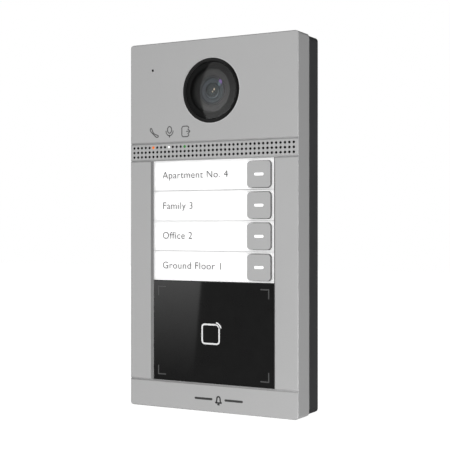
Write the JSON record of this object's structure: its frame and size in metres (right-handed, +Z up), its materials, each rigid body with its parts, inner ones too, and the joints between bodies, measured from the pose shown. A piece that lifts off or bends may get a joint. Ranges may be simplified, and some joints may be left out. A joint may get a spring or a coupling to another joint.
{
  "type": "door intercom panel",
  "caption": "Slim upright wall station with a domed camera over a speaker grille, backlit name rows beside square call buttons, and a gloss card reader plate below.",
  "frame": {"origin": "centre of the four wall screw holes, on the wall plane", "axes": "+Z up, -Y out of the front face, +X to the right of a person facing the panel"},
  "size_m": [0.0984, 0.0273, 0.19],
  "materials": {
    "panel_metal": "fine satin paint on die-cast metal",
    "rear_plastic": "fine grained",
    "seal_rubber": "smooth",
    "screw_steel": "zinc plated",
    "plate_steel": "stamped, zinc plated",
    "bezel_plastic": "gloss",
    "dome_clear": "clear, hard coated",
    "baffle_plastic": "matte",
    "barrel_metal": "black anodised",
    "lens_glass": "coated glass",
    "holder_plastic": "matte",
    "sensor_glass": "gloss",
    "board_green": "solder mask",
    "capsule_metal": "satin",
    "boot_rubber": "smooth",
    "indicator_orange": "lit",
    "indicator_white": "lit",
    "indicator_green": "lit",
    "speaker_plastic": "matte",
    "cone_paper": "pressed paper",
    "magnet_metal": "sintered",
    "gasket_foam": "closed-cell foam",
    "mesh_cloth": "fine woven",
    "window_clear": "clear",
    "card_paper": "uncoated card",
    "guide_plastic": "translucent white",
    "button_plastic": "satin",
    "light_bar": "translucent white",
    "plunger_plastic": "satin",
    "switch_plastic": "satin",
    "led_chip": "gloss",
    "reader_black": "polished",
    "frame_plastic": "satin",
    "chip_plastic": "satin",
    "capacitor_sleeve": "gloss",
    "terminal_plastic": "satin",
    "jack_metal": "nickel plated"
  },
  "bodies": {
    "station": {"front_panel": "panel_metal", "rear_cover": "rear_plastic", "housing_seal": "seal_rubber", "housing_screws": "screw_steel", "wall_plate": "plate_steel", "security_screw": "screw_steel", "camera_bezel": "bezel_plastic", "camera_dome": "dome_clear", "camera_baffle": "baffle_plastic", "lens_barrel": "barrel_metal", "front_lens": "lens_glass", "lens_holder": "holder_plastic", "image_sensor": "sensor_glass", "camera_board": "board_green", "microphone": "capsule_metal", "microphone_boot": "boot_rubber", "indicator_call": "indicator_orange", "indicator_talk": "indicator_white", "indicator_unlock": "indicator_green", "speaker_frame": "speaker_plastic", "speaker_cone": "cone_paper", "speaker_magnet": "magnet_metal", "speaker_gasket": "gasket_foam", "grille_mesh": "mesh_cloth", "name_window_1": "window_clear", "name_window_2": "window_clear", "name_window_3": "window_clear", "name_window_4": "window_clear", "name_card_1": "card_paper", "name_card_2": "card_paper", "name_card_3": "card_paper", "name_card_4": "card_paper", "light_guide": "guide_plastic", "switch_housings": "switch_plastic", "board_leds": "led_chip", "reader_cover": "reader_black", "antenna_board": "board_green", "retaining_frame": "frame_plastic", "inner_screws": "screw_steel", "main_board": "board_green", "processor": "chip_plastic", "power_transformer": "chip_plastic", "capacitors": "capacitor_sleeve", "terminal_block": "terminal_plastic", "network_jack": "jack_metal", "tamper_switch": "switch_plastic"},
    "button_1": {"call_button_1": "button_plastic", "button_light_1": "light_bar", "switch_plunger_1": "plunger_plastic"},
    "button_2": {"call_button_2": "button_plastic", "button_light_2": "light_bar", "switch_plunger_2": "plunger_plastic"},
    "button_3": {"call_button_3": "button_plastic", "button_light_3": "light_bar", "switch_plunger_3": "plunger_plastic"},
    "button_4": {"call_button_4": "button_plastic", "button_light_4": "light_bar", "switch_plunger_4": "plunger_plastic"},
    "tamper": {"tamper_plunger": "plunger_plastic"}
  },
  "joints": [
    {"name": "call_button_1_press", "type": "slide", "parent": "station", "child": "button_1", "axis": [0, 1, 0], "range_m": [0, 0.0006], "stiffness_N_per_m": 2000},
    {"name": "call_button_2_press", "type": "slide", "parent": "station", "child": "button_2", "axis": [0, 1, 0], "range_m": [0, 0.0006], "stiffness_N_per_m": 2000},
    {"name": "call_button_3_press", "type": "slide", "parent": "station", "child": "button_3", "axis": [0, 1, 0], "range_m": [0, 0.0006], "stiffness_N_per_m": 2000},
    {"name": "call_button_4_press", "type": "slide", "parent": "station", "child": "button_4", "axis": [0, 1, 0], "range_m": [0, 0.0006], "stiffness_N_per_m": 2000},
    {"name": "tamper_press", "type": "slide", "parent": "station", "child": "tamper", "axis": [0, -1, 0], "range_m": [0, 0.0012], "stiffness_N_per_m": 500}
  ]
}
